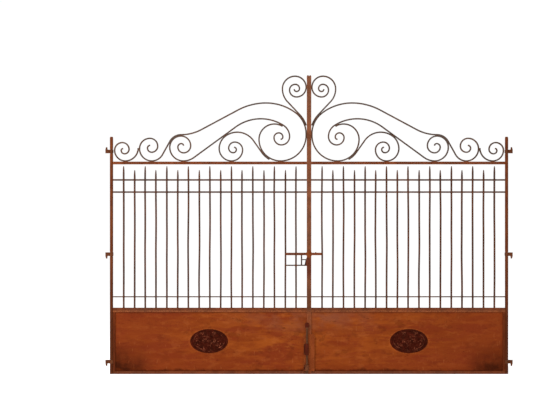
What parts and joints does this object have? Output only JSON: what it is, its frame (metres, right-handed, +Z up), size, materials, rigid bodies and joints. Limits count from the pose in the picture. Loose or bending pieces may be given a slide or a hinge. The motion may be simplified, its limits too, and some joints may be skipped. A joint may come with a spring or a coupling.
{
  "type": "double-leaf wrought iron driveway gate",
  "caption": "Arched double-leaf driveway gate of rusted wrought iron with scrolled crest, picket infill, sheet panels with oval castings, wall brackets and foot bolt.",
  "frame": {"origin": "middle of the outer end face of the bottom left wall bracket, where it meets the pier", "axes": "+X along the closed gate from the left pier to the right one, +Z up, -Y towards the inner side, to which the leaves swing"},
  "size_m": [4.092, 0.064, 3.004],
  "materials": {
    "frame_iron": "rusted wrought iron, brown-orange scale",
    "bar_iron": "rusted wrought iron bar, dull grey-brown",
    "scroll_iron": "rusted forged bar, dull grey-brown",
    "sheet_iron": "rusted sheet iron, orange-brown",
    "cast_rosette": "dark red-brown casting",
    "fitting_iron": "dark rusted forged iron"
  },
  "bodies": {
    "wall_brackets": {"left_top_bracket": "fitting_iron", "left_middle_bracket": "fitting_iron", "left_bottom_bracket": "fitting_iron", "right_top_bracket": "fitting_iron", "right_middle_bracket": "fitting_iron", "right_bottom_bracket": "fitting_iron"},
    "left_leaf": {"left_hanging_stile": "frame_iron", "left_meeting_stile": "frame_iron", "left_top_rail": "frame_iron", "left_picket_rails": "bar_iron", "left_tall_pickets": "bar_iron", "left_short_pickets": "bar_iron", "left_panel_rails": "frame_iron", "left_edge_flat": "frame_iron", "left_sheet": "sheet_iron", "left_rosette": "cast_rosette", "left_bolt_plate": "frame_iron", "left_boss": "frame_iron", "left_end_scroll": "scroll_iron", "left_second_scroll": "scroll_iron", "left_long_scroll": "scroll_iron", "left_middle_scroll": "scroll_iron", "left_crest_bar": "scroll_iron", "left_top_scroll": "scroll_iron", "lock_bars": "frame_iron", "latch": "fitting_iron", "bolt_guides": "fitting_iron"},
    "right_leaf": {"right_hanging_stile": "frame_iron", "right_meeting_stile": "frame_iron", "right_top_rail": "frame_iron", "right_picket_rails": "bar_iron", "right_tall_pickets": "bar_iron", "right_short_pickets": "bar_iron", "right_panel_rails": "frame_iron", "right_edge_flat": "frame_iron", "right_sheet": "sheet_iron", "right_rosette": "cast_rosette", "right_bolt_plate": "frame_iron", "right_boss": "frame_iron", "right_end_scroll": "scroll_iron", "right_second_scroll": "scroll_iron", "right_long_scroll": "scroll_iron", "right_middle_scroll": "scroll_iron", "right_crest_bar": "scroll_iron", "right_top_scroll": "scroll_iron", "strike_bar": "frame_iron"},
    "foot_bolt": {"foot_bolt": "fitting_iron"}
  },
  "joints": [
    {"name": "left_hinge", "type": "hinge", "parent": "wall_brackets", "child": "left_leaf", "pos_m": [0.061, 0, 0], "axis": [0, 0, -1], "range_deg": [0, 90]},
    {"name": "right_hinge", "type": "hinge", "parent": "wall_brackets", "child": "right_leaf", "pos_m": [4.031, 0, 0], "axis": [0, 0, 1], "range_deg": [0, 90]},
    {"name": "foot_bolt_slide", "type": "slide", "parent": "left_leaf", "child": "foot_bolt", "axis": [0, 0, -1], "range_m": [0, 0.06]}
  ]
}
